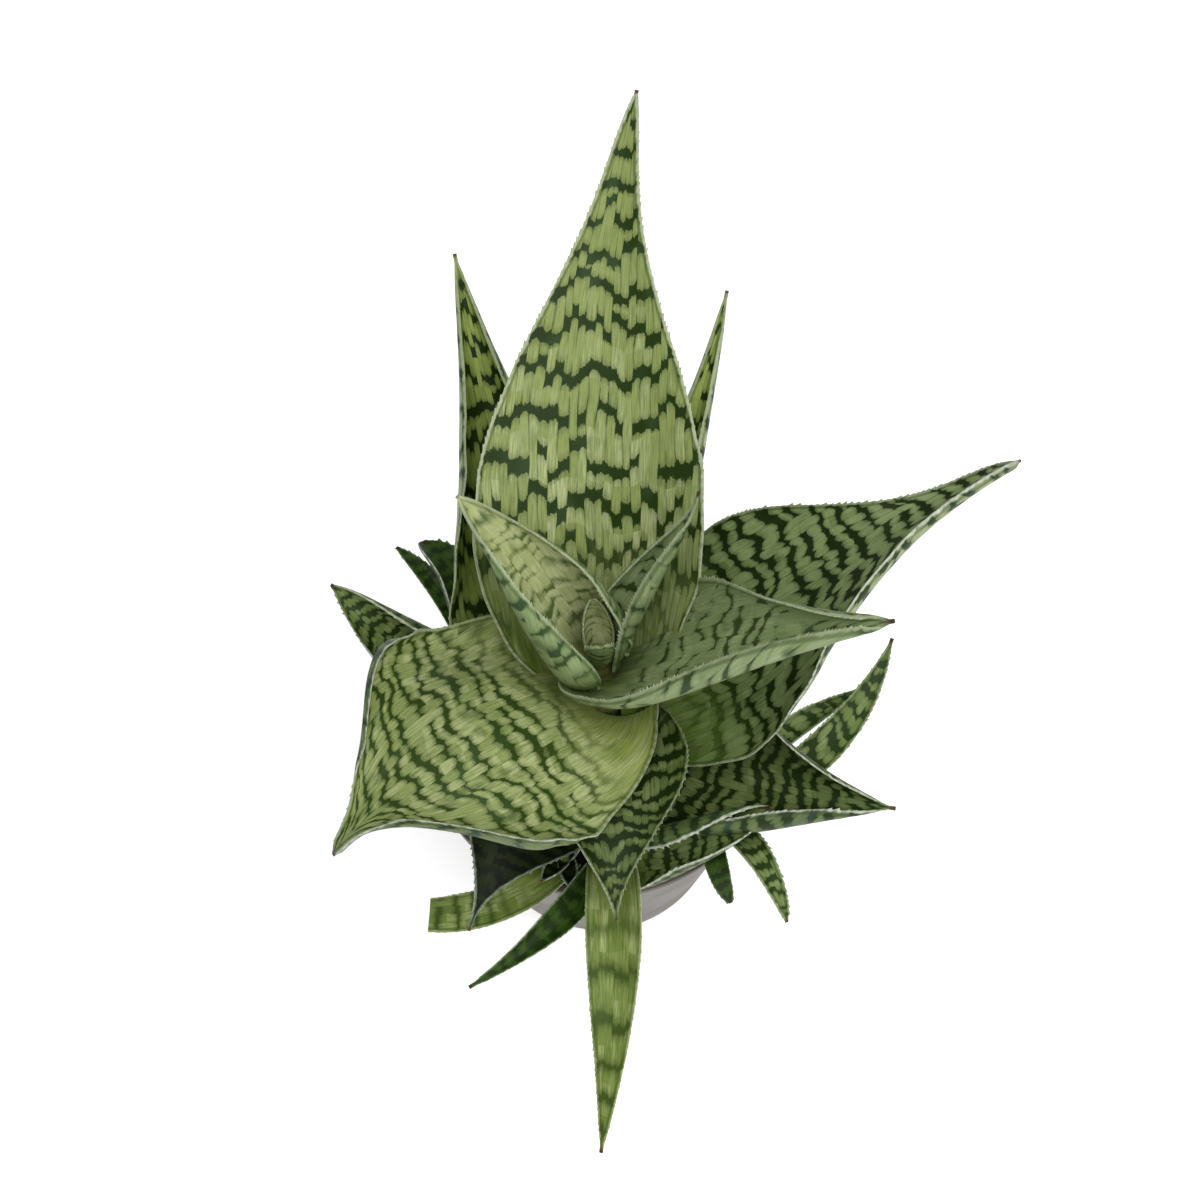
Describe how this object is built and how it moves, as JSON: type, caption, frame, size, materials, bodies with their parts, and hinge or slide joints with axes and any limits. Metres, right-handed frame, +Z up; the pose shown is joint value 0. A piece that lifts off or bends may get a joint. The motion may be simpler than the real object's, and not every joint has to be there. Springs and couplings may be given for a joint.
{
  "type": "potted aloe vera",
  "caption": "Potted aloe with a spiral of broad, channelled, toothed leaves on a short stem, with smaller offsets round it in a round tapered nursery pot.",
  "frame": {"origin": "centre of the pot's underside, on the surface that the pot stands on", "axes": "+Z up along the pot's axis; +Y towards the side that the tallest leaf leans to; +X to the right of that, seen from the front"},
  "size_m": [0.1911, 0.2557, 0.2096],
  "materials": {
    "pot_plastic": "thin moulded plastic, satin, dusty grey-brown",
    "soil": "damp dark potting mix with small crumbs",
    "stem": "fleshy plant stem, dull",
    "leaf": "waxy succulent leaf, dark green with bands of pale cream-green dashes",
    "inner_leaf": "waxy young succulent leaf, grey-green with pale dashes and pale toothed margins",
    "offset_leaf": "waxy small succulent leaf, deeper green with pale bands"
  },
  "bodies": {
    "root": {"pot": "pot_plastic", "soil": "soil", "stem_main": "stem", "leaf_bud_inner": "inner_leaf", "leaf_bud_outer": "inner_leaf", "leaf_inner_right": "inner_leaf", "leaf_inner_left": "inner_leaf", "leaf_young_right": "inner_leaf", "leaf_tall_back": "leaf", "leaf_broad_left": "leaf", "leaf_long_right": "leaf", "leaf_front": "leaf", "leaf_back_left": "leaf", "leaf_low_right": "leaf", "leaf_back_right": "leaf", "leaf_front_left": "leaf", "leaf_lower_back": "leaf", "leaf_lower_left": "leaf", "leaf_lower_right": "leaf", "offset_front_stem": "stem", "offset_front_leaf_long": "offset_leaf", "offset_front_leaf_right": "offset_leaf", "offset_front_leaf_left": "offset_leaf", "offset_right_stem": "stem", "offset_right_leaf_long": "offset_leaf", "offset_right_leaf_back": "offset_leaf", "offset_right_leaf_front": "offset_leaf", "offset_right_leaf_short": "offset_leaf", "offset_left_stem": "stem", "offset_left_leaf_broad": "offset_leaf", "offset_left_leaf_back": "offset_leaf", "offset_left_leaf_narrow": "offset_leaf", "offset_tiny_rosette": "offset_leaf", "offset_tiny_leaf_cut": "offset_leaf"}
  },
  "joints": []
}
